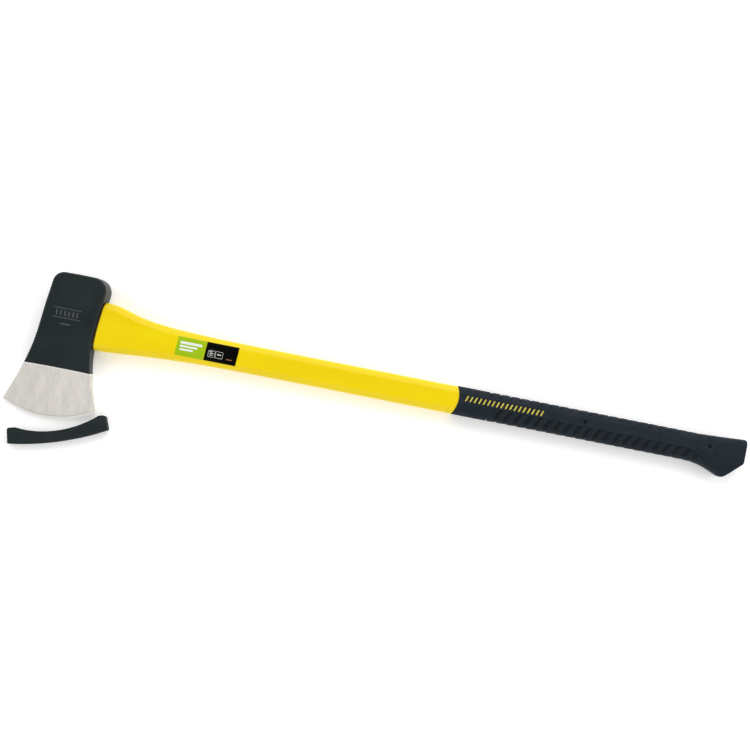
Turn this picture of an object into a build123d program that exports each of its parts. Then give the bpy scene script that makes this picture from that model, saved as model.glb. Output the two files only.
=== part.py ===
from build123d import *
from math import asin, atan2, cos, degrees, hypot, radians, sin, sqrt, tan
import os

# A felling axe of the kind carried as a fire axe, lying on its side with its blade guard off.
#
# The forged head is held by cast resin on the tongue of a plastic-jacketed fibreglass haft, which
# ends in a moulded rubber grip. The head rests on one flat cheek facet, so the whole axe leans
# about its length and the cutting edge hangs just over the ground. The rubber blade guard lies
# flat beside the edge and slides along the ground, round one upright axis, onto the blade.
#
# Frame: millimetres, +Z up, +X along the haft towards the butt, +Y towards the poll. The origin
# is on the ground, straight below the centre of the head's eye.

os.makedirs("parts", exist_ok=True)

# ---------------------------------------------------------------- driving dimensions
# Head, seen from its cheek: x along the haft, y towards the poll, from the eye's centre.
poll_middle_y = 60.8
poll_crown = 1.0  # how far the poll face bulges between its corners
poll_top_x = -27.4  # the poll's corners before they are rounded
poll_butt_x = 39.4
poll_top_round = 14.0
poll_butt_round = 16.5
top_flare = (-36.0, -10.0)  # where the straight top side starts to flare
butt_side_slope = 0.125  # and how it leans beside the poll
waist = (31.4, -33.0)  # the narrowest place of the side that faces the grip
toe = (-65.4, -104.3)
heel = (49.3, -99.7)
toe_side_slope = 0.45  # how fast the outline widens where it meets the edge
heel_side_slope = 0.42
edge_radius = 117.0
toe_round = 1.2
heel_round = 3.4

# Head, seen from its end: half thicknesses and slopes
head_half = 17.0
facet_start_y = 18.0  # the flat cheek facets taper from here towards the bit
bit_slope = 8.4  # degrees, the long hollow taper
bit_radius = 164.0  # the taper is a cone of this radius at the edge
bit_half = 1.0  # half thickness the taper would reach at the edge
bevel_angle = 22.0  # degrees, each side
edge_half = 0.25
rim_round = 2.6

# Eye and the joint in it
eye_y = 4.0
eye_butt = (54.0, 18.0)  # height and width at the grip side
eye_top = (57.0, 21.5)  # it is larger at the top, which wedges the cast resin
eye_reach = 46.0  # half length of the tool that opens the eye
tongue_height = 48.5
tongue_thickness = 13.0
tongue_end_x = -27.0
shoulder_face = ((33.5, -30.0), (34.1, 3.0), (38.0, 38.0))  # it leaves a bead of resin at the head
bead_inset = 0.9

# Haft: (x, spine y, belly y, thickness) of each cross-section
shoulder_sections = [
    (28.0, 33.8, -25.8, 27.6),
    (44.0, 33.4, -25.5, 27.4),
    (54.0, 32.2, -24.9, 27.2),
    (64.0, 29.6, -24.2, 26.9),
    (78.0, 25.5, -23.1, 26.5),
    (100.0, 21.4, -21.4, 26.1),
    (128.0, 19.0, -19.7, 25.8),
]
shaft_sections = [
    (128.0, 19.0, -19.7, 25.8),
    (150.0, 18.0, -18.7, 25.8),
    (180.0, 17.1, -17.9, 25.8),
    (240.0, 16.7, -17.5, 25.8),
]
side_round_share = 0.72  # corner radius of a cross-section, as a share of half its thickness
core_height = 24.0
core_thickness = 8.6

# Grip, along the haft from its front edge at the spine or back from the butt's end
butt_x = 830.8
grip_length = 356.0
grip_spine_y = 17.4
grip_belly_y = -17.8
grip_thickness = 27.4
front_bulge = 3.4  # the front edge runs further on at the side
front_bulge_y = 2.5
front_overhang = 2.4  # and starts earlier at the belly
rubber_wall = 2.3
neck_to_butt = 24.8  # the core and the jacket stop short of the butt
flare_sections = [  # (distance from the butt, spine y, belly y, thickness)
    (74.6, grip_spine_y, grip_belly_y, grip_thickness),
    (62.6, 17.3, -18.5, 27.3),
    (50.6, 17.5, -20.4, 27.0),
    (38.6, 18.0, -24.4, 26.4),
    (24.8, 18.8, -30.4, 25.8),
    (-9.4, 21.0, -45.0, 25.6),
]
butt_high = (0.0, -8.0)  # ends of the slanted face under the butt, from the butt's end
butt_low = (22.2, -29.0)
butt_tip = (28.2, -30.6)
butt_edge_round = 2.0

# Tread of the grip
tread_pitch = 12.15
tread_start = 41.2  # from the grip's front edge to the first groove
groove_width = 1.8
groove_depth = 1.2
spine_groove_y = 12.5  # how far down the side the spine's grooves reach
rib_top_y = -1.6
rib_angle = 48.0
pin_hole_radius = 2.1
pin_hole_y = 4.4
pin_hole_to_butt = (198.0, 45.2)

# Yellow marks let into the grip
mark_count = 18
mark_start = 10.8  # from the grip's front edge
mark_pitch = 5.42
mark_width = 1.7
mark_height = 6.8
mark_lean = 2.4
mark_y = 4.2
mark_depth = 0.9

# Labels on the haft's upper side
label_start_x = 131.9
label_split_x = 166.8
label_end_x = 206.5
label_seam = 0.5
label_middle_y = -0.2
label_half_height = 11.4
label_lean = 1.3  # how far the short ends slant
label_film = 0.2

# Blade guard, from the middle of its outer chord: x along the chord, y towards the blade
guard_half_length = 60.9
guard_heel_end = ((60.2, 16.6), (57.0, 18.4), (51.5, 18.4))  # shoulder, ear tip, ear's inner end
guard_toe_end = ((-59.4, 17.8), (-57.2, 18.9), (-50.4, 18.5))
guard_corner_round = 1.5
guard_sag = 5.7  # how far the outer face bulges
guard_depth = 13.4  # over its middle
guard_floor = 3.2
guard_wall = 2.3
slot_width = 7.4
slot_edge_gap = 0.6  # between the cutting edge and the slot's floor, guard on
slot_end_gap = 1.3
guard_round = 0.9
guard_rest = (11.2, -136.8)  # where the middle of the outer chord lies, guard off
guard_rest_angle = 19.0

# ---------------------------------------------------------------- derived places
beyond = 60.0  # longer than any cut it is used for
guard_thickness = slot_width + 2 * guard_wall

grip_front_x = butt_x - grip_length
grip_front_spine = (grip_front_x, grip_spine_y)
grip_front_side = (grip_front_x + front_bulge, front_bulge_y)
grip_front_belly = (grip_front_x - front_overhang, grip_belly_y)
neck_end_x = butt_x - neck_to_butt
flare_start_x = butt_x - flare_sections[0][0]
tread_first_x = grip_front_x + tread_start
spine_groove_count = 1 + int((flare_start_x - tread_first_x) / tread_pitch) + 2
rib_run = (rib_top_y - grip_belly_y) / tan(radians(rib_angle))
rib_groove_count = spine_groove_count - 1 - int(rib_run / tread_pitch)

edge_half_chord = hypot(heel[0] - toe[0], heel[1] - toe[1]) / 2
edge_angle = atan2(heel[1] - toe[1], heel[0] - toe[0])
edge_rise = sqrt(edge_radius**2 - edge_half_chord**2)
edge_normal = (-sin(edge_angle), cos(edge_angle))
edge_centre = (
    (toe[0] + heel[0]) / 2 + edge_normal[0] * edge_rise,
    (toe[1] + heel[1]) / 2 + edge_normal[1] * edge_rise,
)
edge_middle = (
    edge_centre[0] - edge_normal[0] * edge_radius,
    edge_centre[1] - edge_normal[1] * edge_radius,
)
bit_centre = (
    edge_middle[0] + edge_normal[0] * bit_radius,
    edge_middle[1] + edge_normal[1] * bit_radius,
)

# The lean brings the covered strip of the blade level with the middle of the guard.
covered_depth = guard_depth - guard_floor - slot_edge_gap
level_y = (edge_middle[1] + heel[1] + covered_depth) / 2
facet_reach = facet_start_y - level_y
lean = atan2(head_half, facet_reach) - asin(guard_thickness / 2 / hypot(head_half, facet_reach))
axis_height = head_half * cos(lean) - facet_start_y * sin(lean)

side = Plane(origin=(0, 0, axis_height), x_dir=(1, 0, 0), z_dir=(0, -sin(lean), cos(lean)))

# The guard on the blade, and the upright axis that carries it there from where it lies.
guard_on = (
    edge_middle[0] + edge_normal[0] * (guard_sag - guard_floor - slot_edge_gap),
    edge_middle[1] * cos(lean) + edge_normal[1] * (guard_sag - guard_floor - slot_edge_gap),
)
guard_turn = radians(guard_rest_angle) - edge_angle
guard_shift = (guard_rest[0] - guard_on[0], guard_rest[1] - guard_on[1])
swing_axis = (
    (guard_rest[0] + guard_on[0]) / 2 - guard_shift[1] / 2 / tan(guard_turn / 2),
    (guard_rest[1] + guard_on[1]) / 2 + guard_shift[0] / 2 / tan(guard_turn / 2),
)


def across(x):
    """The plane square to the haft at x; its own x is towards the poll, its y out of the cheek."""
    return Plane(origin=side.from_local_coords((x, 0, 0)), x_dir=side.y_dir, z_dir=side.x_dir)


def turned_about(spot):
    """A plane for a profile turned about the cheek's normal: its x outwards, its y along it."""
    return Plane(origin=side.from_local_coords((*spot, 0)), x_dir=side.y_dir, z_dir=side.x_dir)


def cheek_normal(spot):
    return Axis(side.from_local_coords((*spot, 0)), side.z_dir)


def haft_section(spine, belly, thickness, inset=0.0):
    """One rounded cross-section of the haft on the open sketch, this much inside its size."""
    with Locations(((spine + belly) / 2, 0)):
        RectangleRounded(
            spine - belly - 2 * inset,
            thickness - 2 * inset,
            side_round_share * thickness / 2 - inset,
        )


def eye_section(height, width):
    with Locations((eye_y, 0)):
        SlotOverall(height, width)


# ---------------------------------------------------------------- outlines seen from the side
with BuildSketch() as head_outline:
    top_corner = (poll_top_x, poll_middle_y - poll_crown)
    butt_corner = (poll_butt_x, poll_middle_y - poll_crown)
    poll_middle = ((poll_top_x + poll_butt_x) / 2, poll_middle_y)
    top_run = (top_flare[0] - top_corner[0], top_flare[1] - top_corner[1])
    with BuildLine():
        ThreePointArc(butt_corner, poll_middle, top_corner)
        Line(top_corner, top_flare)
        Spline(top_flare, toe, tangents=[top_run, (-toe_side_slope, -1)])
        ThreePointArc(toe, edge_middle, heel)
        Spline(heel, waist, butt_corner, tangents=[(-heel_side_slope, 1), (butt_side_slope, 1)])
    make_face()
    fillet(vertices().sort_by_distance((*top_corner, 0))[0], poll_top_round)
    fillet(vertices().sort_by_distance((*butt_corner, 0))[0], poll_butt_round)

with BuildSketch() as rounded_outline:
    add(head_outline.sketch)
    fillet(vertices().sort_by_distance((*toe, 0))[0], toe_round)
    fillet(vertices().sort_by_distance((*heel, 0))[0], heel_round)

with BuildSketch() as corner_waste:
    add(head_outline.sketch)
    add(rounded_outline.sketch, mode=Mode.SUBTRACT)

with BuildSketch() as shoulder_clearance:
    with BuildLine():
        ThreePointArc(*shoulder_face)
        Polyline(
            shoulder_face[2],
            (-beyond, shoulder_face[2][1]),
            (-beyond, shoulder_face[0][1]),
            shoulder_face[0],
        )
    make_face()

with BuildSketch() as grip_outline:
    with BuildLine():
        ThreePointArc(grip_front_spine, grip_front_side, grip_front_belly)
        Polyline(
            grip_front_belly,
            (grip_front_belly[0], grip_belly_y - beyond),
            (butt_x - butt_tip[0], grip_belly_y - beyond),
            (butt_x - butt_tip[0], butt_tip[1]),
            (butt_x - butt_low[0], butt_low[1]),
            (butt_x - butt_high[0], butt_high[1]),
            (butt_x, grip_spine_y + beyond),
            (grip_front_spine[0], grip_spine_y + beyond),
            grip_front_spine,
        )
    make_face()

# ---------------------------------------------------------------- head
with BuildPart() as eye_opening:
    with BuildSketch(across(eye_reach)):
        eye_section(*eye_butt)
    with BuildSketch(across(-eye_reach)):
        eye_section(*eye_top)
    loft()

with BuildPart() as axe_head:
    with BuildSketch(side):
        add(head_outline.sketch)
    extrude(amount=head_half, both=True)

    # Flat cheek facets, the upper and the lower.
    with BuildSketch(across(-2 * beyond)):
        facet_end_y = facet_start_y - 3 * beyond
        with BuildLine():
            Polyline(
                (facet_start_y, head_half),
                (facet_end_y, head_half - 3 * beyond * tan(lean)),
                (facet_end_y, 2 * head_half),
                (facet_start_y, 2 * head_half),
                close=True,
            )
        make_face()
        mirror(about=Plane.XZ)
    extrude(amount=4 * beyond, mode=Mode.SUBTRACT)

    # The soft edges of the poll and the sides, before the bit is hollowed.
    rims = edges().filter_by(lambda e: abs(side.to_local_coords(e.center()).Z) > head_half / 2)
    rims = rims.filter_by(lambda e: abs(e.tangent_at(0.5).dot(side.z_dir)) < 0.5)
    rims = rims.filter_by(lambda e: abs(side.to_local_coords(e.center()).Y - facet_start_y) > 1)
    fillet(rims, rim_round)

    # The long taper of the bit, then the ground edge: both cones about the cheek's normal.
    for reach, start_half, slope, spot in (
        (bit_radius, bit_half, bit_slope, bit_centre),
        (edge_radius, edge_half, bevel_angle, edge_centre),
    ):
        with BuildSketch(turned_about(spot)):
            inner = reach - (head_half - start_half) / tan(radians(slope))
            with BuildLine():
                Polyline(
                    (inner, head_half),
                    (reach, start_half),
                    (reach + beyond, start_half),
                    (reach + beyond, head_half),
                    close=True,
                )
            make_face()
            mirror(about=Plane.XZ)
        revolve(axis=cheek_normal(spot), mode=Mode.SUBTRACT)
    with BuildSketch(side):
        add(corner_waste.sketch)
    extrude(amount=beyond, both=True, mode=Mode.SUBTRACT)
    add(eye_opening.part, mode=Mode.SUBTRACT)

axe_head.part.label = "axe_head"
export_step(axe_head.part, "parts/axe_head.step")

# ---------------------------------------------------------------- haft
with BuildPart() as haft_core:
    with BuildSketch(across(tongue_end_x)):
        with Locations(((grip_spine_y + grip_belly_y) / 2, 0)):
            SlotOverall(core_height, core_thickness)
    extrude(amount=neck_end_x - tongue_end_x)

haft_core.part.label = "haft_core"
export_step(haft_core.part, "parts/haft_core.step")

with BuildPart() as tongue:
    with BuildSketch(across(tongue_end_x)):
        eye_section(tongue_height, tongue_thickness)
    extrude(amount=shoulder_sections[1][0] - tongue_end_x)

with BuildPart() as neck:
    with BuildSketch(across(grip_front_belly[0])):
        haft_section(grip_spine_y, grip_belly_y, grip_thickness, rubber_wall)
    extrude(amount=neck_end_x - grip_front_belly[0])

with BuildPart() as haft_jacket:
    for x, spine, belly, thickness in shoulder_sections:
        with BuildSketch(across(x)):
            haft_section(spine, belly, thickness)
    loft()
    for x, spine, belly, thickness in shaft_sections:
        with BuildSketch(across(x)):
            haft_section(spine, belly, thickness)
    loft()
    with BuildSketch(across(shaft_sections[-1][0])):
        haft_section(*shaft_sections[-1][1:])
    extrude(amount=grip_front_x + 2 * front_bulge - shaft_sections[-1][0])
    with BuildSketch(side):
        add(shoulder_clearance.sketch)
        add(grip_outline.sketch)
    extrude(amount=beyond, both=True, mode=Mode.SUBTRACT)
    add(tongue.part)
    add(neck.part)
    add(haft_core.part, mode=Mode.SUBTRACT)

haft_jacket.part.label = "haft_jacket"
export_step(haft_jacket.part, "parts/haft_jacket.step")

# ---------------------------------------------------------------- resin in the eye
with BuildPart() as bead:
    with BuildSketch(across(shoulder_sections[0][0])):
        haft_section(*shoulder_sections[0][1:], bead_inset)
    extrude(amount=shoulder_sections[1][0] - shoulder_sections[0][0])
    with BuildSketch(side):
        add(shoulder_clearance.sketch)
    extrude(amount=beyond, both=True, mode=Mode.INTERSECT)
    with BuildSketch(side):
        add(head_outline.sketch)
    extrude(amount=beyond, both=True, mode=Mode.SUBTRACT)

with BuildPart() as eye_resin:
    add(eye_opening.part)
    with BuildSketch(side):
        add(head_outline.sketch)
    extrude(amount=beyond, both=True, mode=Mode.INTERSECT)
    add(bead.part)
    add(tongue.part, mode=Mode.SUBTRACT)

eye_resin.part.label = "eye_resin"
export_step(eye_resin.part, "parts/eye_resin.step")

# ---------------------------------------------------------------- grip
with BuildPart() as tread:
    with BuildSketch(side):
        for i in range(spine_groove_count):
            with Locations((tread_first_x + i * tread_pitch, spine_groove_y)):
                Rectangle(groove_width, beyond, align=(Align.CENTER, Align.MIN))
        for i in range(rib_groove_count):
            foot = tread_first_x + i * tread_pitch
            with BuildLine():
                Polyline(
                    (foot - groove_width / 2, grip_belly_y - beyond),
                    (foot + groove_width / 2, grip_belly_y - beyond),
                    (foot + groove_width / 2, grip_belly_y),
                    (foot + groove_width / 2 + rib_run, rib_top_y),
                    (foot - groove_width / 2 + rib_run, rib_top_y),
                    (foot - groove_width / 2, grip_belly_y),
                    close=True,
                )
            make_face()
    extrude(amount=beyond, both=True)
    with BuildSketch(across(grip_front_belly[0])):
        haft_section(grip_spine_y, grip_belly_y, grip_thickness, groove_depth)
    extrude(amount=grip_length + beyond, mode=Mode.SUBTRACT)

with BuildPart() as grip_marks:
    with BuildSketch(side.offset(grip_thickness / 2 - mark_depth)):
        for i in range(mark_count):
            left = grip_front_x + mark_start + i * mark_pitch
            with BuildLine():
                Polyline(
                    (left, mark_y - mark_height / 2),
                    (left + mark_width, mark_y - mark_height / 2),
                    (left + mark_width + mark_lean, mark_y + mark_height / 2),
                    (left + mark_lean, mark_y + mark_height / 2),
                    close=True,
                )
            make_face()
    extrude(amount=mark_depth)

grip_marks.part.label = "grip_marks"
export_step(grip_marks.part, "parts/grip_marks.step")

with BuildPart() as grip_sleeve:
    with BuildSketch(across(grip_front_belly[0])):
        haft_section(grip_spine_y, grip_belly_y, grip_thickness)
    extrude(amount=flare_start_x - grip_front_belly[0])
    for to_butt, spine, belly, thickness in flare_sections:
        with BuildSketch(across(butt_x - to_butt)):
            haft_section(spine, belly, thickness)
    loft()
    with BuildSketch(side):
        add(grip_outline.sketch)
    extrude(amount=beyond, both=True, mode=Mode.INTERSECT)
    butt_rims = edges().filter_by(lambda e: e.center().X > butt_x - butt_low[0] - 1)
    butt_rims = butt_rims.filter_by(lambda e: abs(e.tangent_at(0.5).dot(side.x_dir)) < 0.95)
    fillet(butt_rims, butt_edge_round)
    add(neck.part, mode=Mode.SUBTRACT)
    add(tread.part, mode=Mode.SUBTRACT)
    add(grip_marks.part, mode=Mode.SUBTRACT)
    with BuildSketch(side):
        with Locations(*[(butt_x - to_butt, pin_hole_y) for to_butt in pin_hole_to_butt]):
            Circle(pin_hole_radius)
    extrude(amount=beyond, both=True, mode=Mode.SUBTRACT)

grip_sleeve.part.label = "grip_sleeve"
export_step(grip_sleeve.part, "parts/grip_sleeve.step")

# ---------------------------------------------------------------- labels, wrapped on the haft
with BuildPart() as film:
    for x, spine, belly, thickness in shaft_sections:
        with BuildSketch(across(x)):
            haft_section(spine, belly, thickness, -label_film)
    loft()
    for x, spine, belly, thickness in shaft_sections:
        with BuildSketch(across(x)):
            haft_section(spine, belly, thickness)
    loft(mode=Mode.SUBTRACT)

for name, start, end in (
    ("label_green", label_start_x, label_split_x),
    ("label_black", label_split_x + label_seam, label_end_x),
):
    with BuildPart() as label:
        with BuildSketch(side):
            with BuildLine():
                Polyline(
                    (start - label_lean / 2, label_middle_y - label_half_height),
                    (end - label_lean / 2, label_middle_y - label_half_height),
                    (end + label_lean / 2, label_middle_y + label_half_height),
                    (start + label_lean / 2, label_middle_y + label_half_height),
                    close=True,
                )
            make_face()
        extrude(amount=beyond)
        add(film.part, mode=Mode.INTERSECT)
    label.part.label = name
    export_step(label.part, f"parts/{name}.step")

# ---------------------------------------------------------------- blade guard
guard_frame = Plane(
    origin=(*guard_rest, guard_thickness / 2),
    x_dir=(cos(radians(guard_rest_angle)), sin(radians(guard_rest_angle)), 0),
    z_dir=(0, 0, 1),
)
with BuildSketch() as guard_outline:
    toe_corner = (-guard_half_length, 0)
    heel_corner = (guard_half_length, 0)
    with BuildLine():
        ThreePointArc(toe_corner, (0, -guard_sag), heel_corner)
        Polyline(heel_corner, *guard_heel_end)
        ThreePointArc(guard_heel_end[-1], (0, guard_depth - guard_sag), guard_toe_end[-1])
        Polyline(*guard_toe_end[::-1], toe_corner)
    make_face()
    for corner in (toe_corner, heel_corner):
        fillet(vertices().sort_by_distance((*corner, 0))[0], guard_corner_round)

with BuildPart() as edge_guard:
    with BuildSketch(guard_frame):
        add(guard_outline.sketch)
    extrude(amount=guard_thickness / 2, both=True)
    outside = edges()
    fillet(outside, guard_round)

    # The slot for the blade: its floor follows the cutting edge.
    with BuildSketch(guard_frame):
        slot_half = edge_half_chord + slot_end_gap
        floor_radius = edge_radius + slot_edge_gap
        floor_y = guard_floor - guard_sag
        wall_y = floor_y + floor_radius - sqrt(floor_radius**2 - slot_half**2)
        with BuildLine():
            ThreePointArc((-slot_half, wall_y), (0, floor_y), (slot_half, wall_y))
            Polyline(
                (slot_half, wall_y), (slot_half, beyond), (-slot_half, beyond), (-slot_half, wall_y)
            )
        make_face()
    extrude(amount=slot_width / 2, both=True, mode=Mode.SUBTRACT)

edge_guard.part.label = "edge_guard"
export_step(edge_guard.part, "parts/edge_guard.step")

for whole in (axe_head, haft_core, haft_jacket, eye_resin, grip_marks, grip_sleeve, edge_guard):
    box = whole.part.bounding_box()
    print(
        whole.part.label, round(whole.part.volume), len(whole.part.solids()), whole.part.is_valid,
        [round(v, 2) for v in (*box.min, *box.max)],
    )
print("lean", degrees(lean), "axis height", axis_height)
print("swing axis", swing_axis, "turn", degrees(guard_turn), "on", guard_on)
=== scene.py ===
import math
import bpy
from mathutils import Matrix, Vector


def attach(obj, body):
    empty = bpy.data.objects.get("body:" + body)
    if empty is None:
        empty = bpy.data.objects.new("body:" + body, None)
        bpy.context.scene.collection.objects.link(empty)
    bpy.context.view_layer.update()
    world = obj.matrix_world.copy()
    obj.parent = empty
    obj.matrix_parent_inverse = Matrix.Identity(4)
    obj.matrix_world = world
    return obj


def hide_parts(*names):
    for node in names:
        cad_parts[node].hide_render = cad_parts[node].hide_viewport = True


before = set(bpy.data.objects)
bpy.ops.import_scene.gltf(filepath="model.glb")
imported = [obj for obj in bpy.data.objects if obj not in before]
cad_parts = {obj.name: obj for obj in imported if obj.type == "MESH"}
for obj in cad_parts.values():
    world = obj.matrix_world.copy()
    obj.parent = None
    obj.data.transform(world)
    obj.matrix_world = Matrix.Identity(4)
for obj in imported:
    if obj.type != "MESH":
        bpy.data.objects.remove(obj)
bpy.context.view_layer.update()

mm = 0.001

# The axe leans on its lower cheek: its own frame has x along the haft, y to the poll, z out of the cheek.
lean = {"degrees": 5.158933, "eyeHeight": 15.312597}
leanAngle = math.radians(lean["degrees"])
axeFrame = Matrix.Translation((0, 0, lean["eyeHeight"] * mm)) @ Matrix.Rotation(leanAngle, 4, "X")


# small helpers for meshes
def smoothPath(stations, x, column):
    # a soft curve through the stations, read at x
    last = len(stations) - 1
    if x <= stations[0][0]:
        return stations[0][column]
    if x >= stations[last][0]:
        return stations[last][column]
    i = 0
    while x > stations[i + 1][0]:
        i += 1
    x0, x1 = stations[i][0], stations[i + 1][0]
    y0, y1 = stations[i][column], stations[i + 1][column]
    before = stations[max(i - 1, 0)]
    after = stations[min(i + 2, last)]
    slope0 = (y1 - before[column]) / (x1 - before[0])
    slope1 = (after[column] - y0) / (after[0] - x0)
    width = x1 - x0
    t = (x - x0) / width
    return (
        (2 * t**3 - 3 * t**2 + 1) * y0
        + (t**3 - 2 * t**2 + t) * width * slope0
        + (3 * t**2 - 2 * t**3) * y1
        + (t**3 - t**2) * width * slope1
    )


def smoothStep(low, high, value):
    t = min(max((value - low) / (high - low), 0.0), 1.0)
    return t * t * (3 - 2 * t)


def softCorner(height, width, radius, count):
    # points round a rectangle with round corners, evenly spaced, starting in the middle of the top
    radius = max(min(radius, height / 2 - 0.01, width / 2 - 0.01), 0.01)
    flatY, flatZ = height / 2 - radius, width / 2 - radius
    arc = math.pi / 2 * radius
    runs = [flatZ, arc, 2 * flatY, arc, 2 * flatZ, arc, 2 * flatY, arc, flatZ]
    total = sum(runs)
    points = []
    for k in range(count):
        along = total * k / count
        step = 0
        while along > runs[step] and step < 8:
            along -= runs[step]
            step += 1
        turn = along / radius
        if step == 0:
            spot = (height / 2, along)
        elif step == 1:
            spot = (flatY + radius * math.cos(turn), flatZ + radius * math.sin(turn))
        elif step == 2:
            spot = (flatY - along, width / 2)
        elif step == 3:
            spot = (-flatY - radius * math.sin(turn), flatZ + radius * math.cos(turn))
        elif step == 4:
            spot = (-height / 2, flatZ - along)
        elif step == 5:
            spot = (-flatY - radius * math.cos(turn), -flatZ - radius * math.sin(turn))
        elif step == 6:
            spot = (-flatY + along, -width / 2)
        elif step == 7:
            spot = (flatY + radius * math.sin(turn), -flatZ - radius * math.cos(turn))
        else:
            spot = (height / 2, -flatZ + along)
        points.append(spot)
    return points


def newPiece(name, points, faces):
    mesh = bpy.data.meshes.new(name)
    mesh.from_pydata(points, [], faces)
    mesh.validate()
    mesh.update()
    piece = bpy.data.objects.new(name, mesh)
    bpy.context.scene.collection.objects.link(piece)
    return piece


def ringSkin(name, rings, joinEnds):
    # a skin over rings of equal count, in millimetres in the axe's frame; its ends are joined or closed
    count = len(rings[0])
    last = len(rings) - 1
    points = [Vector(p) * mm for ring in rings for p in ring]
    faces = []
    pairs = [(i, i + 1) for i in range(last)]
    if joinEnds:
        pairs.append((last, 0))
    for a, b in pairs:
        for k in range(count):
            n = (k + 1) % count
            faces.append((a * count + k, a * count + n, b * count + n, b * count + k))
    if not joinEnds:
        for first, atEnd in ((0, False), (last * count, True)):
            middle = sum((points[first + k] for k in range(count)), Vector()) / count
            points.append(middle)
            for k in range(count):
                n = (k + 1) % count
                pair = (first + k, first + n) if atEnd else (first + n, first + k)
                faces.append((*pair, len(points) - 1))
    return newPiece(name, points, faces)


def finishPiece(piece, body, paint, smoothAngle):
    for face in piece.data.polygons:
        face.use_smooth = True
    piece.data.set_sharp_from_angle(angle=math.radians(smoothAngle))
    piece.data.materials.append(paint)
    piece.matrix_world = axeFrame
    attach(piece, body)
    return piece


def dress(nodeName, paint):
    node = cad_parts[nodeName]
    node.data.materials.clear()
    node.data.materials.append(paint)
    return node


# small helpers for materials
def put(tree, kind, values=None, **settings):
    # a new node; nodes stand in rows of eight, in the order they are made
    spot = len(tree.nodes)
    node = tree.nodes.new(kind)
    node.location = (spot % 8 * 200 - 800, spot // 8 * -300)
    for key, value in settings.items():
        setattr(node, key, value)
    for key, value in (values or {}).items():
        node.inputs[key].default_value = value
    return node


def newPaint(name):
    paint = bpy.data.materials.new(name)
    paint.use_nodes = True
    tree = paint.node_tree
    tree.nodes.clear()
    out = put(tree, "ShaderNodeOutputMaterial")
    shader = put(tree, "ShaderNodeBsdfPrincipled")
    tree.links.new(shader.outputs["BSDF"], out.inputs["Surface"])
    return paint, tree, shader


def wire(tree, shader, colour, rough, normal):
    for source, socket in ((colour, "Base Color"), (rough, "Roughness"), (normal, "Normal")):
        tree.links.new(source, shader.inputs[socket])


def grain(tree, place, scale, detail=3.0, rough=0.55):
    cloud = put(tree, "ShaderNodeTexNoise", {"Scale": scale, "Detail": detail, "Roughness": rough})
    tree.links.new(place, cloud.inputs["Vector"])
    return cloud.outputs["Fac"]


def between(tree, source, low, high, outLow=0.0, outHigh=1.0):
    ends = {"From Min": low, "From Max": high, "To Min": outLow, "To Max": outHigh}
    step = put(tree, "ShaderNodeMapRange", ends, interpolation_type="SMOOTHSTEP")
    tree.links.new(source, step.inputs["Value"])
    return step.outputs["Result"]


def feed(tree, node, sources):
    # numbers and colours are set on the sockets, outputs of other nodes are linked to them
    for socket, value in sources:
        if isinstance(value, (int, float)):
            node.inputs[socket].default_value = value
        elif isinstance(value, tuple):
            node.inputs[socket].default_value = (*value, 1.0)
        else:
            tree.links.new(value, node.inputs[socket])


def sums(tree, kind, *terms):
    node = put(tree, "ShaderNodeMath", operation=kind)
    feed(tree, node, enumerate(terms))
    return node.outputs[0]


def blendColour(tree, factor, first, second):
    node = put(tree, "ShaderNodeMix", data_type="RGBA")
    feed(tree, node, ((0, factor), (6, first), (7, second)))
    return node.outputs[2]


def blendNumber(tree, factor, first, second):
    node = put(tree, "ShaderNodeMix", data_type="FLOAT")
    feed(tree, node, ((0, factor), (2, first), (3, second)))
    return node.outputs[0]


def relief(tree, height, strength, depth, under=None):
    # depth in millimetres
    bump = put(tree, "ShaderNodeBump", {"Strength": strength, "Distance": depth * mm})
    tree.links.new(height, bump.inputs["Height"])
    if under:
        tree.links.new(under, bump.inputs["Normal"])
    return bump.outputs["Normal"]


def axePlace(tree, leaning):
    # where a point is in the axe's own frame; CAD nodes are upright, so theirs is turned back
    where = put(tree, "ShaderNodeTexCoord").outputs["Object"]
    if leaning:
        lower = put(tree, "ShaderNodeVectorMath", operation="SUBTRACT")
        lower.inputs[1].default_value = (0, 0, lean["eyeHeight"] * mm)
        turn = put(tree, "ShaderNodeVectorRotate", {"Angle": -leanAngle}, rotation_type="X_AXIS")
        tree.links.new(where, lower.inputs[0])
        tree.links.new(lower.outputs[0], turn.inputs["Vector"])
        where = turn.outputs[0]
    return where


def split(tree, place):
    parts = put(tree, "ShaderNodeSeparateXYZ")
    tree.links.new(place, parts.inputs[0])
    return parts.outputs["X"], parts.outputs["Y"], parts.outputs["Z"]


def stretched(tree, place, scale):
    node = put(tree, "ShaderNodeMapping", {"Scale": scale})
    tree.links.new(place, node.inputs["Vector"])
    return node.outputs[0]


def vectorStep(tree, kind, source, value=None):
    node = put(tree, "ShaderNodeVectorMath", operation=kind)
    tree.links.new(source, node.inputs[0])
    if value:
        node.inputs[1].default_value = value
    return node.outputs["Value" if kind == "LENGTH" else "Vector"]


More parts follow.
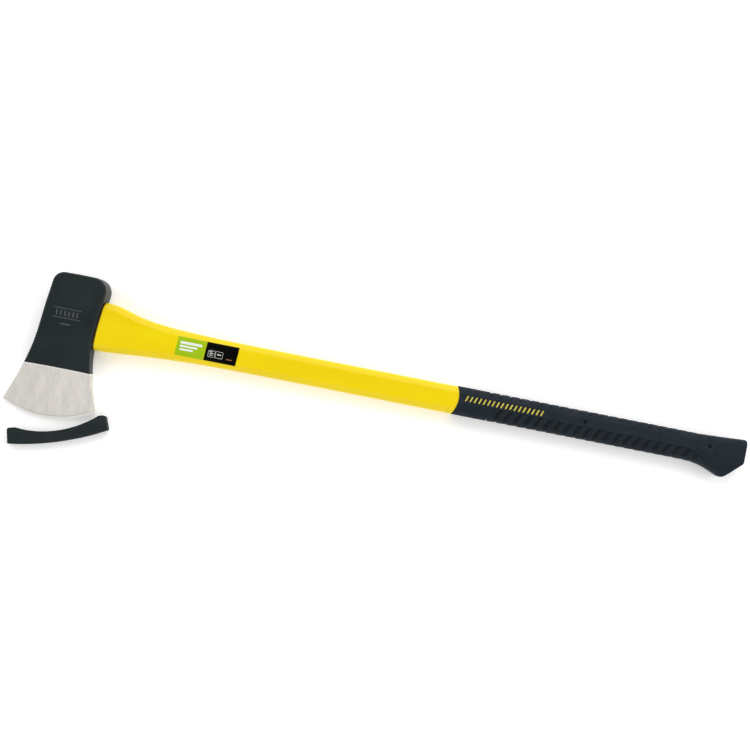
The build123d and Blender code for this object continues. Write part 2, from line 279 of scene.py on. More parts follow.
def boxMask(tree, x, y, box):
    # 1 inside a box with round corners, or on its outline when it has a line width
    middleX, middleY, halfWidth, halfHeight, corner, lineWidth = box
    sides = []
    for place, middle, half in ((x, middleX, halfWidth), (y, middleY, halfHeight)):
        away = sums(tree, "ABSOLUTE", sums(tree, "SUBTRACT", place, middle * mm))
        sides.append(sums(tree, "SUBTRACT", away, (half - corner) * mm))
    outer = put(tree, "ShaderNodeCombineXYZ")
    for k in (0, 1):
        tree.links.new(sums(tree, "MAXIMUM", sides[k], 0.0), outer.inputs[k])
    inner = sums(tree, "MINIMUM", sums(tree, "MAXIMUM", *sides), 0.0)
    far = sums(tree, "ADD", vectorStep(tree, "LENGTH", outer.outputs[0]), inner)
    far = sums(tree, "SUBTRACT", far, corner * mm)
    if lineWidth:
        far = sums(tree, "SUBTRACT", sums(tree, "ABSOLUTE", far), lineWidth / 2 * mm)
    soft = 0.05 * mm
    return between(tree, far, soft, -soft)


def inkMask(tree, x, y, boxes):
    # printed or etched boxes in millimetres: middle, half sizes, corner, and a line width for an outline
    total = boxMask(tree, x, y, boxes[0])
    for box in boxes[1:]:
        total = sums(tree, "MAXIMUM", total, boxMask(tree, x, y, box))
    return total


# head: black paint down to the taped line, ground steel below it
headFinish = {
    "paint": (0.0095, 0.0155, 0.0165),
    "paintLight": (0.0145, 0.021, 0.0215),
    "paintDust": (0.05, 0.055, 0.055),
    "paintRoughness": 0.42,
    "steel": (0.80, 0.765, 0.71),
    "steelDark": (0.64, 0.61, 0.56),
    "steelRoughness": 0.4,
    "steelMetal": 0.35,
    "strokeScale": (2600, 90, 400),
    "patchScale": (120, 40, 60),
    "gloss": 0.2,
    "tapeLine": -54.6,
    "tapeBow": 0.35,
    "tapeCreep": 0.7,
    "tapeSoft": 0.35,
    "paintedEdgeHighlight": (0.95, 0.94, 0.92),  # painted highlight: a bright line at the top of the ground face, this far below the paint
    "paintedEdgeHighlightBelow": 0.7,
    "bevel": (0.92, 0.9, 0.87),
    "bevelShadowLine": (0.3, 0.29, 0.26),
    "bevelInside": 113.9,  # the bevel starts on this radius about the edge's centre
    "edgeCentre": (-12.14, -0.13),
    "etch": (0.085, 0.095, 0.095),
    "etchStrength": 0.85,
    "etchCorner": 0.3,
    "etchBars": [(-4, 17.2, 17, 0.45), (-4, 5.8, 17, 0.45), (-4, -1.5, 6, 0.7)],
    "tickCount": 6,
    "tickStart": -16.5,
    "tickPitch": 5.0,
    "tickMiddle": 11.5,
    "tickHalf": (0.8, 3.2),
}


def blackLayer(tree, place):
    # a little lighter where the paint is thick, with a fine spray grain
    cloud = grain(tree, place, 28, 3)
    thick = between(tree, cloud, 0.3, 0.75)
    colour = blendColour(tree, thick, headFinish["paint"], headFinish["paintLight"])
    dust = between(tree, grain(tree, place, 900, 2), 0.72, 0.8, 0.0, 0.35)
    return cloud, blendColour(tree, dust, colour, headFinish["paintDust"])


def steelLayer(tree, place):
    # grinding strokes run up the bit, in broad patches, down to the brighter bevel, edged by a painted shadow
    # line
    flat = vectorStep(tree, "MULTIPLY", place, (1, 1, 0))
    centreX, centreY = headFinish["edgeCentre"]
    away = vectorStep(tree, "SUBTRACT", flat, (centreX * mm, centreY * mm, 0))
    past = sums(tree, "SUBTRACT", vectorStep(tree, "LENGTH", away), headFinish["bevelInside"] * mm)
    strokes = grain(tree, stretched(tree, place, headFinish["strokeScale"]), 1.0, 4, 0.7)
    patches = grain(tree, stretched(tree, place, headFinish["patchScale"]), 1.0, 3, 0.6)
    streak = sums(tree, "ADD", sums(tree, "MULTIPLY", strokes, 0.6), sums(tree, "MULTIPLY", patches, 0.4))
    bright = between(tree, streak, 0.35, 0.62)
    colour = blendColour(tree, bright, headFinish["steelDark"], headFinish["steel"])
    bevel = between(tree, past, -0.3 * mm, 0.3 * mm, 0.0, 0.5)
    colour = blendColour(tree, bevel, colour, headFinish["bevel"])
    # a thin dark painted shadow line along the bevel's inner border, standing in for the shade at the grind
    # step
    line = between(tree, sums(tree, "ABSOLUTE", past), 0.8 * mm, 0.2 * mm, 0.0, 0.55)
    return strokes, streak, blendColour(tree, line, colour, headFinish["bevelShadowLine"])


def etchMask(tree, x, y, z):
    # a plain etched panel on the upper cheek: two rules, ticks between them and a short bar
    corner = headFinish["etchCorner"]
    boxes = [(*bar, corner, 0) for bar in headFinish["etchBars"]]
    for i in range(headFinish["tickCount"]):
        across = headFinish["tickStart"] + i * headFinish["tickPitch"]
        boxes.append((across, headFinish["tickMiddle"], *headFinish["tickHalf"], corner, 0))
    upper = between(tree, z, 0.0, 1.0 * mm, 0.0, headFinish["etchStrength"])
    return sums(tree, "MULTIPLY", inkMask(tree, x, y, boxes), upper)


def makeHeadPaint():
    paint, tree, shader = newPaint("headPaintAndSteel")
    place = axePlace(tree, True)
    x, y, z = split(tree, place)

    # the tape line bows a hair and the paint creeps under it here and there
    bow = sums(tree, "MULTIPLY", sums(tree, "POWER", sums(tree, "ABSOLUTE", x), 2.0), headFinish["tapeBow"])
    ragged = sums(tree, "SUBTRACT", grain(tree, place, 420, 4), 0.5)
    creep = sums(tree, "MULTIPLY", ragged, headFinish["tapeCreep"] * mm)
    height = sums(tree, "ADD", sums(tree, "ADD", y, bow), creep)
    line = headFinish["tapeLine"] * mm
    soft = headFinish["tapeSoft"] * mm
    bare = between(tree, height, line + soft, line - soft)

    cloud, black = blackLayer(tree, place)
    black = blendColour(tree, etchMask(tree, x, y, z), black, headFinish["etch"])
    strokes, streak, steel = steelLayer(tree, place)
    # a thin painted highlight just under the paint line, standing in for light caught on the ground face's
    # upper rim
    paintedEdgeHighlight = sums(tree, "ABSOLUTE", sums(tree, "SUBTRACT", height, line - headFinish["paintedEdgeHighlightBelow"] * mm))
    paintedEdgeHighlight = between(tree, paintedEdgeHighlight, 0.8 * mm, 0.3 * mm, 0.0, 0.7)
    steel = blendColour(tree, paintedEdgeHighlight, steel, headFinish["paintedEdgeHighlight"])
    colour = blendColour(tree, bare, black, steel)

    paintRough, steelRough = headFinish["paintRoughness"], headFinish["steelRoughness"]
    rough = blendNumber(
        tree, bare,
        between(tree, cloud, 0.3, 0.8, paintRough, paintRough + 0.1),
        between(tree, streak, 0.3, 0.7, steelRough + 0.1, steelRough),
    )

    # forged unevenness under the paint, orange peel on it, strokes in the steel, a step at the paint's edge
    forged = relief(tree, grain(tree, place, 55, 2), 0.35, 0.6)
    coat = sums(tree, "SUBTRACT", 1.0, bare)
    peel = sums(tree, "MULTIPLY", coat, grain(tree, place, 1100, 2))
    cuts = sums(tree, "MULTIPLY", bare, strokes)
    fine = relief(tree, sums(tree, "ADD", peel, cuts), 0.3, 0.06, forged)
    wire(tree, shader, colour, rough, relief(tree, coat, 0.8, 0.08, fine))
    tree.links.new(sums(tree, "MULTIPLY", bare, headFinish["steelMetal"]), shader.inputs["Metallic"])
    shader.inputs["Specular IOR Level"].default_value = headFinish["gloss"]
    return paint


# yellow plastic of the haft; sections are spine, belly and thickness, after x along the haft
haftFinish = {
    "yellow": (0.86, 0.66, 0.0015),
    "yellowDeep": (0.83, 0.61, 0.001),
    "speck": (0.55, 0.36, 0.01),
    "roughness": 0.34,
    "gloss": 0.24,
    "glowWeight": 0.06,  # light that sinks into the plastic, and how far in metres
    "glowRadius": (0.004, 0.002, 0.0004),
    "glowScale": 0.5,
    "count": 112,
    "shoulder": [
        (28.0, 33.8, -25.8, 27.6),
        (44.0, 33.4, -25.5, 27.4),
        (54.0, 32.2, -24.9, 27.2),
        (64.0, 29.6, -24.2, 26.9),
        (78.0, 25.5, -23.1, 26.5),
        (100.0, 21.4, -21.4, 26.1),
        (128.0, 19.0, -19.7, 25.8),
        (150.0, 18.0, -18.7, 25.8),
        (180.0, 17.1, -17.9, 25.8),
        (240.0, 16.7, -17.5, 25.8),
        (484.0, 16.7, -17.5, 25.8),
    ],
    "cornerShare": 0.72,
    "shoulderFace": ((33.5, -30.0), (34.1, 3.0), (38.0, 38.0)),  # x and y of three points on it
    "faceSection": 35.0,
    "shoulderRound": 1.4,
    "shaftStart": 40.0,
    "shaftEnd": 470.0,
    "shoulderEnd": 180.0,
    "ringSteps": (3.0, 6.0),  # along the shoulder, along the straight shaft
    "slantReach": 34.6,  # the first rings of the shaft still follow the shoulder's slant
    "slantFade": (38.0, 60.0),
    "gripFront": ((474.8, 17.4), (478.2, 2.5), (472.4, -17.8)),
    "endRound": 0.8,
    "neck": (15.1, -15.5, 22.8, 7.564),  # spine, belly, thickness and corner under the grip
    "neckStart": 500.0,
    "neckEnd": 806.0,
    "tongue": (48.5, 13.0, 4.0, -27.0),  # height, thickness, middle and far end, in the head's eye
    "tongueRings": (20.0, 0.4),  # the second follows the shoulder's face
    "core": (24.0, 8.6, -0.2),  # height, thickness and middle
}


def throughThree(points, y):
    # x at y on the parabola through three points
    (xa, ya), (xb, yb), (xc, yc) = points
    return (
        xa * (y - yb) * (y - yc) / ((ya - yb) * (ya - yc))
        + xb * (y - ya) * (y - yc) / ((yb - ya) * (yb - yc))
        + xc * (y - ya) * (y - yb) / ((yc - ya) * (yc - yb))
    )


def sectionRing(x, spine, belly, thick, corner, count, endLine=None):
    middle = (spine + belly) / 2
    ring = []
    for y, z in softCorner(spine - belly, thick, corner, count):
        ring.append((x if endLine is None else throughThree(endLine, y + middle) + x, y + middle, z))
    return ring


def stadium(height, thick, middle):
    # spine, belly, thickness and corner of a section with fully round sides
    return (middle + height / 2, middle - height / 2, thick, thick / 2)


def makeHaft(paint):
    look = haftFinish
    count = look["count"]
    face, front, neck = look["shoulderFace"], look["gripFront"], look["neck"]

    def size(x, inset=0.0):
        spine, belly, thick = (smoothPath(look["shoulder"], x, c) for c in (1, 2, 3))
        corner = look["cornerShare"] * thick / 2 - inset
        return spine - inset, belly + inset, thick - 2 * inset, corner

    tongueHigh, tongueWide, tongueMiddle, tongueEnd = look["tongue"]
    tongue = stadium(tongueHigh, tongueWide, tongueMiddle)
    nearer, atFace = look["tongueRings"]
    rings = [
        sectionRing(tongueEnd, *tongue, count),
        sectionRing(nearer, *tongue, count),
        sectionRing(atFace, *tongue, count, face),
    ]
    # the shoulder's face, then its rounded rim
    rim, section = look["shoulderRound"], look["faceSection"]
    for inset in (6.0, 3.0):
        rings.append(sectionRing(0.0, *size(section, inset), count, face))
    for k in range(7):
        turn = k / 6 * math.pi / 2
        inset = rim * (1 - math.sin(turn))
        rings.append(sectionRing(rim * (1 - math.cos(turn)), *size(section, inset), count, face))
    # the shaft, with closer rings where the shoulder narrows
    close, wide = look["ringSteps"]
    x = look["shaftStart"]
    while x < look["shaftEnd"]:
        follow = 1 - smoothStep(*look["slantFade"], x)
        ring = sectionRing(x, *size(x), count)
        slant = sectionRing(x - look["slantReach"], *size(x), count, face)
        rings.append([(a[0] * (1 - follow) + b[0] * follow, a[1], a[2]) for a, b in zip(ring, slant)])
        x += close if x < look["shoulderEnd"] else wide
    # the front of the grip: a rounded lip that follows its scallop
    lip = look["endRound"]
    for back in (6.0, 3.0, 1.6):
        rings.append(sectionRing(-back, *size(look["shaftEnd"]), count, front))
    for k in range(6):
        turn = k / 5 * math.pi / 2
        inset = lip * (1 - math.cos(turn))
        rings.append(sectionRing(-lip * (1 - math.sin(turn)), *size(look["shaftEnd"], inset), count, front))
    rings.append(sectionRing(0.0, *neck, count, front))
    rings.append(sectionRing(look["neckStart"], *neck, count))
    rings.append(sectionRing(look["neckEnd"], *neck, count))
    # back along the bore for the core
    bore = stadium(*look["core"])
    for x in (look["neckEnd"], look["neckStart"], 100.0, tongueEnd):
        rings.append(sectionRing(x, *bore, count))
    piece = ringSkin("haftShell", rings, True)
    return finishPiece(piece, "axe", paint, 40)


def makeHaftPaint():
    paint, tree, shader = newPaint("yellowPlastic")
    place = axePlace(tree, False)
    flow = grain(tree, stretched(tree, place, (6, 40, 40)), 1.0, 3)
    tone = between(tree, flow, 0.3, 0.75)
    colour = blendColour(tree, tone, haftFinish["yellow"], haftFinish["yellowDeep"])
    specks = between(tree, grain(tree, place, 1400, 1), 0.76, 0.82, 0.0, 0.25)
    colour = blendColour(tree, specks, colour, haftFinish["speck"])
    low, high = haftFinish["roughness"] - 0.03, haftFinish["roughness"] + 0.07
    rough = between(tree, grain(tree, place, 60, 4), 0.3, 0.7, low, high)
    wave = relief(tree, grain(tree, stretched(tree, place, (25, 90, 90)), 1.0, 2), 0.22, 0.5)
    wire(tree, shader, colour, rough, relief(tree, grain(tree, place, 2200, 2), 0.12, 0.04, wave))
    shader.inputs["Specular IOR Level"].default_value = haftFinish["gloss"]
    shader.inputs["Subsurface Weight"].default_value = haftFinish["glowWeight"]
    shader.inputs["Subsurface Radius"].default_value = haftFinish["glowRadius"]
    shader.inputs["Subsurface Scale"].default_value = haftFinish["glowScale"]
    return paint


# rubber grip with its tread; sections as on the haft
gripFinish = {
    "rubber": (0.0125, 0.0195, 0.028),
    "rubberDeep": (0.0095, 0.0155, 0.0215),
    # the next colour is painted shade laid on the ribbed band below the panel's edge
    "lowerBandShade": (0.0028, 0.0075, 0.0095),
    # the next colour is painted shade in the grooves of the tread
    "grooveShade": (0.001, 0.002, 0.003),
    "bloom": (0.035, 0.045, 0.052),
    "roughness": 0.56,
    "gloss": 0.14,
    "poreScale": 1500,
    "count": 200,
    "butt": 830.8,
    "flare": [
        (700.0, 17.4, -17.8, 27.4),
        (756.2, 17.4, -17.8, 27.4),
        (768.2, 17.3, -18.5, 27.3),
        (780.2, 17.5, -20.4, 27.0),
        (792.2, 18.0, -24.4, 26.4),
        (806.0, 18.8, -30.4, 25.8),
        (840.2, 21.0, -45.0, 25.6),
    ],
    "cornerShare": 0.72,
    "cut": [(796.6, -34.0), (802.6, -30.6), (808.6, -29.0), (830.8, -8.0)],  # the slanted face under the butt
    "cutSoft": 1.6,
    "frontRound": 0.9,
    "buttRound": 2.0,
    "ringsStart": 487.0,
    "treadFrom": 505.0,
    "treadTo": 790.0,
    "ringSteps": (3.0, 0.45, 0.9),  # ahead of the tread, along it, behind it
    "pitch": 12.15,
    "firstGroove": 516.0,
    "lastSpine": 783.0,
    "lastBelly": 771.0,
    "spineEdge": (10.5, 13.5),
    "bellyEdge": (-16.2, -13.6),
    "spineWidth": 3.0,
    "bellyWidth": 2.6,
    "spineDepth": 1.5,
    "bellyDepth": 1.4,
    "bandStart": 518.0,
    "bandEnd": (786.0, 792.0),
    "bandFade": (-16.5, -12.5),  # the band runs out towards the belly grooves
    "ribDepth": 1.15,
    "ribLean": 0.98,
    "ribBend": 0.035,
    "ribSlide": 4.0,
    "panelStep": 0.7,
    "panelEdge": -1.4,
    "pinHoles": ((632.8, 4.4), (785.6, 4.4)),
    "pinRadius": 2.1,
    "pinDepth": 1.7,
}


def grooveShape(offset, width):
    # 1 at the groove's middle, 0 outside it
    d = offset / (width / 2)
    return 1 - d * d if -1 < d < 1 else 0.0


def gripInset(x, y):
    # how far the rubber lies below its full section at a point: grooves, ribs and the step of the panel
    look = gripFinish
    pitch, first = look["pitch"], look["firstGroove"]
    lastSpine, lastBelly = look["lastSpine"], look["lastBelly"]
    phase = ((x - first + pitch / 2) % pitch) - pitch / 2
    begun = smoothStep(first - 7, first - 5, x)
    deep = 0.0
    # spine grooves, each a short scoop behind a crisp step
    spine = smoothStep(*look["spineEdge"], y) * begun * (1 - smoothStep(lastSpine - 1, lastSpine + 1, x))
    if spine > 0:
        tail = 0.3 * (1 - smoothStep(0.0, 6.0, phase)) if phase > 0 else 0.0
        deep = look["spineDepth"] * spine * max(grooveShape(phase, look["spineWidth"]), tail)
    # the side's ribbed band below the panel's edge, which drops to the belly at its far end
    edge = look["panelEdge"] - 1.2 * smoothStep(700, 760, x) - 10.5 * smoothStep(756, 792, x)
    start = look["bandStart"] + (edge - y) * 0.25
    band = smoothStep(start - 2.0, start + 3.0, x) * (1 - smoothStep(*look["bandEnd"], x))
    if y < edge + 0.7 and band > 0:
        below = 1 - smoothStep(edge - 0.45, edge + 0.45, y)
        line = grooveShape(y - (edge - 0.7), 1.9)
        step = look["panelStep"] * (0.45 + 0.75 * line)
        # ribs rise towards the spine side and bend upright near the belly
        run = (y - edge) * look["ribLean"] + look["ribBend"] * (y - edge) ** 2
        slide = ((x - first - run + pitch / 2 - look["ribSlide"]) % pitch) - pitch / 2
        rib = (0.5 + 0.5 * math.cos(2 * math.pi * slide / pitch)) ** 1.6
        far = 1 - smoothStep(lastBelly - 4, lastBelly + 10, x)
        fade = 1 - 0.75 * (1 - smoothStep(*look["bandFade"], y))
        ribbed = look["ribDepth"] * rib * far * fade * (1 - 0.6 * line)
        deep = max(deep, band * below * (step * fade + ribbed))
    belly = (1 - smoothStep(*look["bellyEdge"], y)) * begun
    belly *= 1 - smoothStep(lastBelly - 1, lastBelly + 1, x)
    if belly > 0:
        deep = max(deep, look["bellyDepth"] * belly * grooveShape(phase, look["bellyWidth"]))
    # blind holes left by the mould's support pins, on both sides
    radius = look["pinRadius"]
    for holeX, holeY in look["pinHoles"]:
        away = math.hypot(x - holeX, y - holeY)
        if away < radius + 1:
            deep = max(deep, look["pinDepth"] * (1 - smoothStep(radius - 0.35, radius + 0.15, away)))
    return deep


def cutLine(x):
    # height of the slanted face under the butt; ahead of it there is none
    line = gripFinish["cut"]
    if x <= line[0][0]:
        return -math.inf
    for (xa, ya), (xb, yb) in zip(line, line[1:]):
        if x <= xb:
            return ya + (yb - ya) * (x - xa) / (xb - xa)
    return line[-1][1]


def softCut(y, floor):
    # lifts a point onto the slanted face, with a soft rim
    soft = gripFinish["cutSoft"]
    over = floor - y
    if over > soft:
        return floor
    if over > -soft:
        return floor + (soft - over) ** 2 / (4 * soft)
    return y


def makeGrip(paint):
    look = gripFinish
    count, butt = look["count"], look["butt"]
    front, neck = haftFinish["gripFront"], haftFinish["neck"]
    depths = []

    def ring(x, inset=0.0, endLine=None, textured=True):
        spine, belly, thick = (smoothPath(look["flare"], x, c) for c in (1, 2, 3))
        corner = look["cornerShare"] * thick / 2
        middle = (spine + belly) / 2
        floor = cutLine(x) + inset
        points = []
        outline = softCorner(spine - belly - 2 * inset, thick - 2 * inset, corner - inset, count)
        for k, (y, z) in enumerate(outline):
            ya, za = outline[k - 1]
            yb, zb = outline[(k + 1) % count]
            run = math.hypot(yb - ya, zb - za)
            outY, outZ = -(zb - za) / run, (yb - ya) / run
            if outY * y + outZ * z < 0:
                outY, outZ = -outY, -outZ
            px = x if endLine is None else throughThree(endLine, y + middle) + x
            deep = gripInset(px, y + middle) if textured else 0.0
            depths.append(deep)
            points.append((px, softCut(y + middle - outY * deep, floor), z - outZ * deep))
        return points

    rings = [
        sectionRing(haftFinish["neckEnd"], *neck, count),
        sectionRing(haftFinish["neckStart"], *neck, count),
        sectionRing(0.0, *neck, count, front),
    ]
    depths.extend([0.0] * 3 * count)
    lip = look["frontRound"]
    for k in range(7):
        turn = k / 6 * math.pi / 2
        rings.append(ring(lip * (1 - math.cos(turn)), lip * (1 - math.sin(turn)), front, False))
    for ahead in (2.0, 4.0, 7.0):
        rings.append(ring(ahead, 0.0, front, False))
    ahead, along, behind = look["ringSteps"]
    rim = look["buttRound"]
    x = look["ringsStart"]
    while x < butt - rim - 0.4:
        rings.append(ring(x))
        x += ahead if x < look["treadFrom"] else along if x < look["treadTo"] else behind
    for k in range(9):
        turn = k / 8 * math.pi / 2
        rings.append(ring(butt - rim * (1 - math.sin(turn)), rim * (1 - math.cos(turn)), None, False))
    for inset in (4.0, 7.0, 10.0):
        rings.append([(px - 0.02 * inset, py, pz) for px, py, pz in ring(butt, inset, None, False)])
    piece = ringSkin("rubberGrip", rings, False)
    depths.extend([0.0] * (len(piece.data.vertices) - len(depths)))
    tread = piece.data.attributes.new("treadDepth", "FLOAT", "POINT")
    tread.data.foreach_set("value", depths)
    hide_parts("grip_sleeve")
    return finishPiece(piece, "axe", paint, 50)


def treadColour(tree, place, colour, finish):
    # painted shade below the panel's edge: the ribbed band is darkened, standing in for the shade on its
    # downward-turned face
    edge = finish["panelEdge"]
    lower = between(tree, split(tree, place)[1], (edge + 1) * mm, (edge - 2) * mm, 0.0, 0.5)
    colour = blendColour(tree, lower, colour, finish["lowerBandShade"])
    # painted shade in the grooves, and a painted highlight on the high places between them, where the band's
    # painted shade is taken off again
    tread = put(tree, "ShaderNodeAttribute", attribute_name="treadDepth").outputs["Fac"]
    colour = blendColour(tree, between(tree, tread, 0.35, 1.5, 0.0, 0.7), colour, finish["grooveShade"])
    high = sums(tree, "MULTIPLY", between(tree, tread, 0.95, 0.45, 0.0, 0.6), lower)
    return blendColour(tree, high, colour, finish["rubber"])


def makeRubberPaint(name, finish):
    paint, tree, shader = newPaint(name)
    place = axePlace(tree, False)
    cloud = grain(tree, place, 45, 4)
    colour = blendColour(tree, between(tree, cloud, 0.3, 0.7), finish["rubber"], finish["rubberDeep"])
    bloom = grain(tree, stretched(tree, place, (40, 160, 160)), 1.0, 4)
    colour = blendColour(tree, between(tree, bloom, 0.52, 0.8, 0.0, 0.3), colour, finish["bloom"])
    if "panelEdge" in finish:
        colour = treadColour(tree, place, colour, finish)
    rough = between(tree, cloud, 0.25, 0.75, finish["roughness"] - 0.05, finish["roughness"] + 0.12)
    pores = relief(tree, grain(tree, place, finish["poreScale"], 3), 0.35, 0.08)
    wire(tree, shader, colour, rough, pores)
    shader.inputs["Specular IOR Level"].default_value = finish["gloss"]
    return paint


# yellow strokes let into the grip, standing a hair proud
markFinish = {
    "colour": (0.72, 0.60, 0.07),
    "colourDeep": (0.60, 0.48, 0.05),
    "cloudScale": 160,
    "roughness": 0.5,
    "skinScale": 900,
    "skinDepth": 0.05,
    "gloss": 0.3,
    "count": 18,
    "start": 485.6,
    "pitch": 5.42,
    "width": 1.7,
    "height": 6.8,
    "lean": 2.4,
    "middle": 4.2,
    "top": 13.7,
    "proud": 0.14,
    "sunk": 0.8,
    "corner": 0.6,
    "corners": 24,
}


def makeMarks(paint):
    look = markFinish
    width, height, around = look["width"], look["height"], look["corners"]
    levels = (
        (0.0, -look["sunk"]),
        (0.0, look["proud"] - 0.12),
        (0.05, look["proud"] - 0.04),
        (0.16, look["proud"]),
    )
    outline = softCorner(height, width, look["corner"], around)
    points, faces = [], []
    for i in range(look["count"]):
        middleX = look["start"] + i * look["pitch"] + width / 2
        first = len(points)
        for inset, z in levels:
            for y, x in outline:
                y, x = y * (1 - 2 * inset / height), x * (1 - 2 * inset / width)
                slide = (y / height + 0.5) * look["lean"]
                points.append(Vector((middleX + x + slide, look["middle"] + y, look["top"] + z)) * mm)
        for r in range(len(levels) - 1):
            a, b = first + r * around, first + (r + 1) * around
            for k in range(around):
                n = (k + 1) % around
                faces.append((a + k, b + k, b + n, a + n))
        top = first + (len(levels) - 1) * around
        faces.append(tuple(first + k for k in range(around)))
        faces.append(tuple(top + k for k in reversed(range(around))))
    piece = newPiece("yellowMarks", points, faces)
    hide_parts("grip_marks")
    return finishPiece(piece, "axe", paint, 50)


# films, resin and core keep their CAD shapes: two close tones in soft clouds, under a fine skin
def makePlainPaint(name, finish, leaning=True):
    paint, tree, shader = newPaint(name)
    place = axePlace(tree, leaning)
    cloud = grain(tree, stretched(tree, place, finish.get("stretch", (1, 1, 1))), finish["cloudScale"], 3)
    colour = blendColour(tree, between(tree, cloud, 0.3, 0.7), finish["colour"], finish["colourDeep"])
    rough = between(tree, cloud, 0.3, 0.7, finish["roughness"] - 0.04, finish["roughness"] + 0.06)
    skin = relief(tree, grain(tree, place, finish["skinScale"], 2), 0.3, finish["skinDepth"])
    wire(tree, shader, colour, rough, skin)
    shader.inputs["Specular IOR Level"].default_value = finish["gloss"]
    return paint


def printed(paint, boxes, ink):
    # ink over the film's own colour
    tree = paint.node_tree
    shader = next(n for n in tree.nodes if n.type == "BSDF_PRINCIPLED")
    under = shader.inputs["Base Color"].links[0].from_socket
    place = next(n for n in tree.nodes if n.type == "VECTOR_ROTATE").outputs[0]
    x, y = split(tree, place)[:2]
    mask = inkMask(tree, x, y, boxes)
    tree.links.new(blendColour(tree, mask, under, ink), shader.inputs["Base Color"])
    return paint


greenFinish = {
    "colour": (0.36, 0.545, 0.003),
    "colourDeep": (0.32, 0.50, 0.003),
    "cloudScale": 22,
    "roughness": 0.36,
    "skinScale": 500,
    "skinDepth": 0.03,
    "gloss": 0.3,
    "ink": (0.82, 0.84, 0.8),
    "bars": [
        (149.2, 4.6, 13.2, 1.5, 0.7, 0),
        (146.6, 0.2, 10.6, 1.1, 0.5, 0),
        (144.2, -3.8, 8.2, 1.1, 0.5, 0),
    ],
}

blackFinish = {
    "colour": (0.0018, 0.0022, 0.0016),
    "colourDeep": (0.0045, 0.0048, 0.004),
    "cloudScale": 22,
    "roughness": 0.34,
    "skinScale": 500,
    "skinDepth": 0.03,
    "gloss": 0.03,
    "ink": (0.82, 0.84, 0.8),
    "outlines": [
        (175.2, -2.3, 4.1, 3.9, 0.9, 0.3),
        (184.4, -2.3, 4.4, 3.9, 0.9, 0.3),
    ],
    "bars": [
        (174.2, 0.0, 1.6, 0.45, 0.2, 0),
        (175.2, -2.1, 2.4, 0.3, 0.2, 0),
        (174.6, -4.1, 1.9, 0.3, 0.2, 0),
        (184.4, -2.0, 2.2, 0.55, 0.3, 0),
    ],
    "pinkInk": (0.36, 0.13, 0.09),
    "pinkBars": [(197.2, -5.6, 3.4, 0.5, 0.3, 0)],
}

resinFinish = {
    "colour": (0.022, 0.012, 0.005),
    "colourDeep": (0.035, 0.02, 0.007),
    "cloudScale": 60,
    "roughness": 0.3,
    "skinScale": 220,
    "skinDepth": 0.3,
    "gloss": 0.3,
}

coreFinish = {
    "colour": (0.62, 0.6, 0.42),
    "colourDeep": (0.5, 0.48, 0.32),
    "stretch": (30, 900, 900),
    "cloudScale": 1,
    "roughness": 0.45,
    "skinScale": 900,
    "skinDepth": 0.08,
    "gloss": 0.3,
}

guardFinish = {
    "rubber": (0.0165, 0.0225, 0.0255),
    "rubberDeep": (0.0115, 0.0165, 0.019),
    "bloom": (0.035, 0.045, 0.052),
    "roughness": 0.6,
    "gloss": 0.16,
    "poreScale": 1900,
}


# camera, floor and light
studio = {
    "lookAt": (373.4, 10.8),
    "distance": 1500.0,
    "viewWidth": 911.5,
    "roll": 11.158,
    "sensor": 36.0,
    "floor": (0.965, 0.965, 0.96),
    "floorReach": 9.0,
    "floorGlow": 0.22,
    "zenith": 0.14,
    "horizon": 1.0,
    "lampsAt": (0.38, 0.0, 0.0),
    "lamps": [
        ("topLamp", (0.5, 1.9, 2.0), 2.2, 36.0),
        ("leftLamp", (-2.0, 0.2, 1.7), 2.0, 17.0),
        ("rightLamp", (2.7, 0.2, 1.8), 2.0, 27.0),
        ("lowLamp", (0.4, -2.0, 1.8), 2.2, 17.0),
    ],
}


def makeCamera():
    roll = math.radians(studio["roll"])
    tilt = axeFrame.to_3x3()
    right = tilt @ Vector((math.cos(roll), math.sin(roll), 0))
    up = tilt @ Vector((-math.sin(roll), math.cos(roll), 0))
    back = tilt @ Vector((0, 0, 1))
    target = axeFrame @ (Vector((*studio["lookAt"], 0)) * mm)
    data = bpy.data.cameras.new("camera")
    data.sensor_width = studio["sensor"]
    data.lens = studio["sensor"] * studio["distance"] / studio["viewWidth"]
    data.clip_start, data.clip_end = 0.05, 60
    camera = bpy.data.objects.new("camera", data)
    bpy.context.scene.collection.objects.link(camera)
    turn = Matrix((right, up, back)).transposed().to_4x4()
    camera.matrix_world = Matrix.Translation(target + back * studio["distance"] * mm) @ turn
    bpy.context.scene.camera = camera


def makeFloor():
    reach = studio["floorReach"]
    corners = [(-reach, -reach, 0), (reach, -reach, 0), (reach, reach, 0), (-reach, reach, 0)]
    floor = newPiece("studioFloor", corners, [(0, 1, 2, 3)])
    paint, tree, shader = newPaint("floorPaper")
    shader.inputs["Base Color"].default_value = (*studio["floor"], 1)
    shader.inputs["Roughness"].default_value = 0.9
    shader.inputs["Specular IOR Level"].default_value = 0.1
    shader.inputs["Emission Color"].default_value = (1, 1, 1, 1)
    shader.inputs["Emission Strength"].default_value = studio["floorGlow"]  # keeps the far floor pale
    floor.data.materials.append(paint)


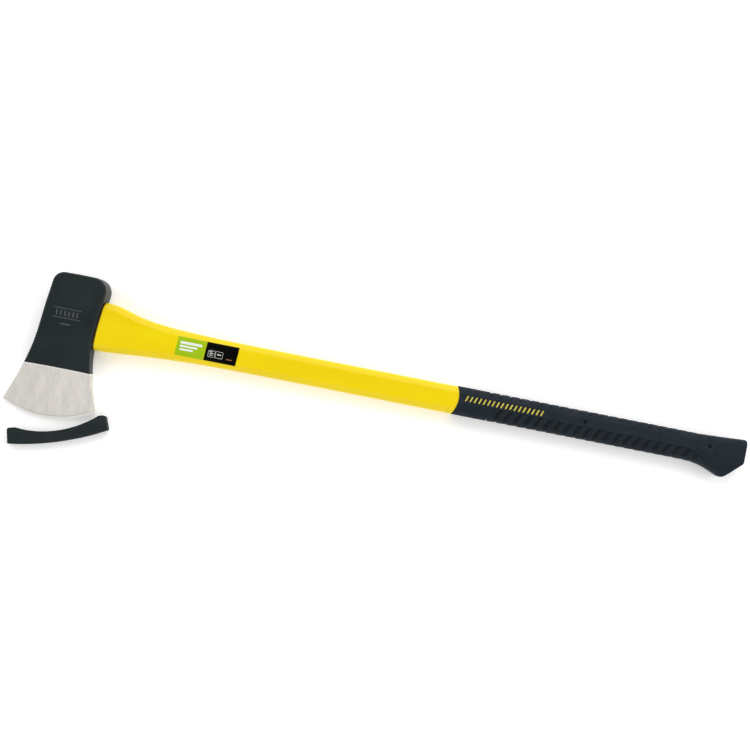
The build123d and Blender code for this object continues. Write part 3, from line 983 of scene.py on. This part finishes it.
def makeWorld():
    world = bpy.data.worlds.new("studioWorld")
    bpy.context.scene.world = world
    world.use_nodes = True
    tree = world.node_tree
    tree.nodes.clear()
    out = put(tree, "ShaderNodeOutputWorld")
    glow = put(tree, "ShaderNodeBackground", {"Color": (1, 1, 1, 1)})
    up = split(tree, put(tree, "ShaderNodeTexCoord").outputs["Generated"])[2]
    strength = between(tree, up, 0.1, 0.95, studio["horizon"], studio["zenith"])
    tree.links.new(strength, glow.inputs["Strength"])
    tree.links.new(glow.outputs[0], out.inputs[0])
    bpy.context.scene.view_settings.view_transform = "Standard"
    bpy.context.scene.view_settings.look = "None"


def makeLamps():
    middle = Vector(studio["lampsAt"])
    for name, spot, size, power in studio["lamps"]:
        data = bpy.data.lights.new(name, "AREA")
        data.shape = "SQUARE"
        data.size = size
        data.energy = power
        lamp = bpy.data.objects.new(name, data)
        lamp.location = spot
        lamp.rotation_mode = "QUATERNION"
        lamp.rotation_quaternion = (Vector(spot) - middle).to_track_quat("Z", "Y")
        bpy.context.scene.collection.objects.link(lamp)


makeCamera()
makeFloor()
makeWorld()
makeLamps()
print("camera and studio ready")

dress("axe_head", makeHeadPaint())
yellowPaint = makeHaftPaint()
haft = makeHaft(yellowPaint)
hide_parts("haft_jacket")
dress("haft_jacket", yellowPaint)
print("head and haft ready")

gripPaint = makeRubberPaint("gripRubber", gripFinish)
makeGrip(gripPaint)
dress("grip_sleeve", gripPaint)
dress("edge_guard", makeRubberPaint("guardRubber", guardFinish))
inlayPaint = makePlainPaint("yellowInlay", markFinish, False)
makeMarks(inlayPaint)
dress("grip_marks", inlayPaint)
print("grip and guard ready")

greenFilm = makePlainPaint("greenFilm", greenFinish)
dress("label_green", printed(greenFilm, greenFinish["bars"], greenFinish["ink"]))
blackFilm = makePlainPaint("blackFilm", blackFinish)
printed(blackFilm, blackFinish["outlines"] + blackFinish["bars"], blackFinish["ink"])
dress("label_black", printed(blackFilm, blackFinish["pinkBars"], blackFinish["pinkInk"]))
dress("eye_resin", makePlainPaint("castResin", resinFinish))
dress("haft_core", makePlainPaint("glassFibre", coreFinish))
print("labels, resin and core ready")
